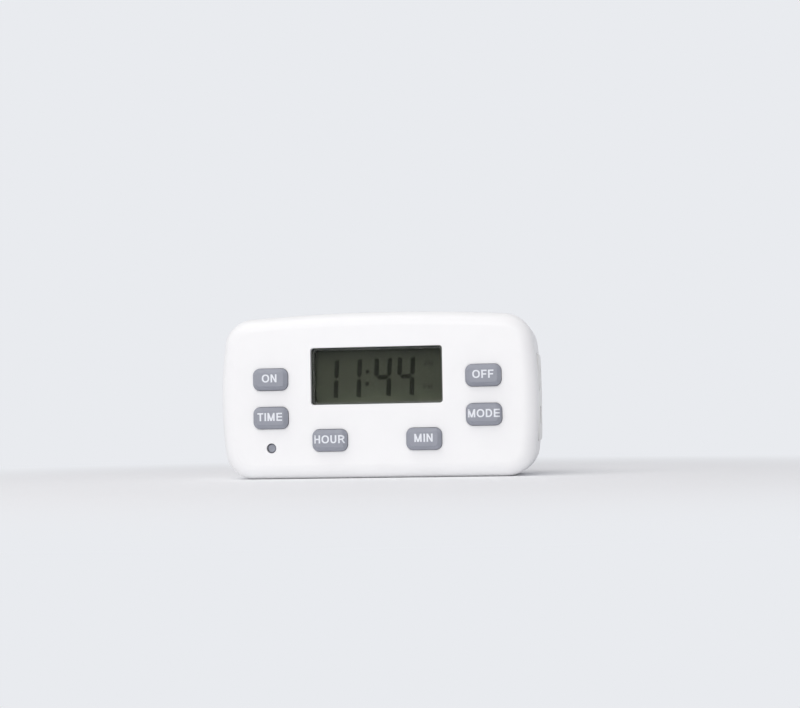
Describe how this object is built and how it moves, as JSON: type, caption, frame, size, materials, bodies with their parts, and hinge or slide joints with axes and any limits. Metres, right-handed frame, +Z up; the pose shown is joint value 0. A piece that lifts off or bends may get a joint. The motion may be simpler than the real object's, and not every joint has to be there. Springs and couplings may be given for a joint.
{
  "type": "plug-in timer",
  "caption": "Plug-in digital timer: rounded white box with a display and push keys, a grounded plug behind and an outlet at each end.",
  "frame": {"origin": "middle of the flat underside", "axes": "+X right seen from the front, +Y from the face to the wall, +Z up"},
  "size_m": [0.102, 0.059, 0.053],
  "materials": {
    "housing_abs": "satin moulded white",
    "outlet_nylon": "satin moulded white",
    "window_clear": "clear polished",
    "lcd_glass": "polished grey-green",
    "holder_black": "moulded",
    "spool_nylon": "moulded",
    "connector_rubber": "cut",
    "reflector_foil": "matt foil",
    "key_rubber": "matt moulded silicone",
    "contact_carbon": "matt",
    "circuit_board": "solder mask",
    "black_resin": "poured resin",
    "plated_steel": "zinc plated",
    "soft_iron": "bright",
    "contact_brass": "stamped strip",
    "plug_brass": "polished",
    "copper_wire": "enamelled",
    "relay_plastic": "moulded",
    "film_box": "moulded",
    "can_sleeve": "shrunk sleeve",
    "varistor_coat": "dipped",
    "diode_epoxy": "moulded",
    "resistor_coat": "lacquered"
  },
  "bodies": {
    "housing": {"front_cover": "housing_abs", "rear_cover": "housing_abs", "right_outlet_block": "outlet_nylon", "left_outlet_block": "outlet_nylon", "display_window": "window_clear", "lcd_glass": "lcd_glass", "lcd_holder": "holder_black", "lcd_reflector": "reflector_foil", "zebra_strips": "connector_rubber", "keypad_mat": "key_rubber", "reset_switch": "plated_steel", "control_board": "circuit_board", "controller_chip": "black_resin", "crystal": "plated_steel", "backup_cell": "plated_steel", "board_header": "black_resin", "power_board": "circuit_board", "relay_base": "relay_plastic", "relay_cover": "relay_plastic", "relay_bobbin": "spool_nylon", "relay_winding": "copper_wire", "relay_core": "soft_iron", "relay_yoke": "soft_iron", "fixed_contact": "contact_brass", "film_capacitor": "film_box", "smoothing_capacitor": "can_sleeve", "varistor": "varistor_coat", "diodes": "diode_epoxy", "resistors": "resistor_coat", "hot_blade": "plug_brass", "neutral_blade": "plug_brass", "ground_pin": "plug_brass", "neutral_bus": "contact_brass", "switched_bus": "contact_brass", "ground_bus": "contact_brass", "line_strip": "contact_brass", "housing_screws": "plated_steel", "board_screws": "plated_steel"},
    "on_key": {"on_key": "key_rubber", "on_pill": "contact_carbon"},
    "off_key": {"off_key": "key_rubber", "off_pill": "contact_carbon"},
    "time_key": {"time_key": "key_rubber", "time_pill": "contact_carbon"},
    "mode_key": {"mode_key": "key_rubber", "mode_pill": "contact_carbon"},
    "hour_key": {"hour_key": "key_rubber", "hour_pill": "contact_carbon"},
    "minute_key": {"minute_key": "key_rubber", "minute_pill": "contact_carbon"},
    "reset_key": {"reset_key": "key_rubber"},
    "relay_armature": {"relay_armature": "soft_iron", "contact_spring": "contact_brass"}
  },
  "joints": [
    {"name": "on_key_press", "type": "slide", "parent": "housing", "child": "on_key", "axis": [0, 1, 0], "range_m": [0, 0.001], "stiffness_N_per_m": 400},
    {"name": "off_key_press", "type": "slide", "parent": "housing", "child": "off_key", "axis": [0, 1, 0], "range_m": [0, 0.001], "stiffness_N_per_m": 400},
    {"name": "time_key_press", "type": "slide", "parent": "housing", "child": "time_key", "axis": [0, 1, 0], "range_m": [0, 0.001], "stiffness_N_per_m": 400},
    {"name": "mode_key_press", "type": "slide", "parent": "housing", "child": "mode_key", "axis": [0, 1, 0], "range_m": [0, 0.001], "stiffness_N_per_m": 400},
    {"name": "hour_key_press", "type": "slide", "parent": "housing", "child": "hour_key", "axis": [0, 1, 0], "range_m": [0, 0.001], "stiffness_N_per_m": 400},
    {"name": "minute_key_press", "type": "slide", "parent": "housing", "child": "minute_key", "axis": [0, 1, 0], "range_m": [0, 0.001], "stiffness_N_per_m": 400},
    {"name": "reset_press", "type": "slide", "parent": "housing", "child": "reset_key", "axis": [0, 1, 0], "range_m": [0, 0.0006], "stiffness_N_per_m": 400},
    {"name": "armature_pull", "type": "hinge", "parent": "housing", "child": "relay_armature", "pos_m": [0.01969, -0.0042, 0.033], "axis": [0, 0, -1], "range_deg": [0, 2.5], "stiffness_Nm_per_rad": 0.05}
  ]
}
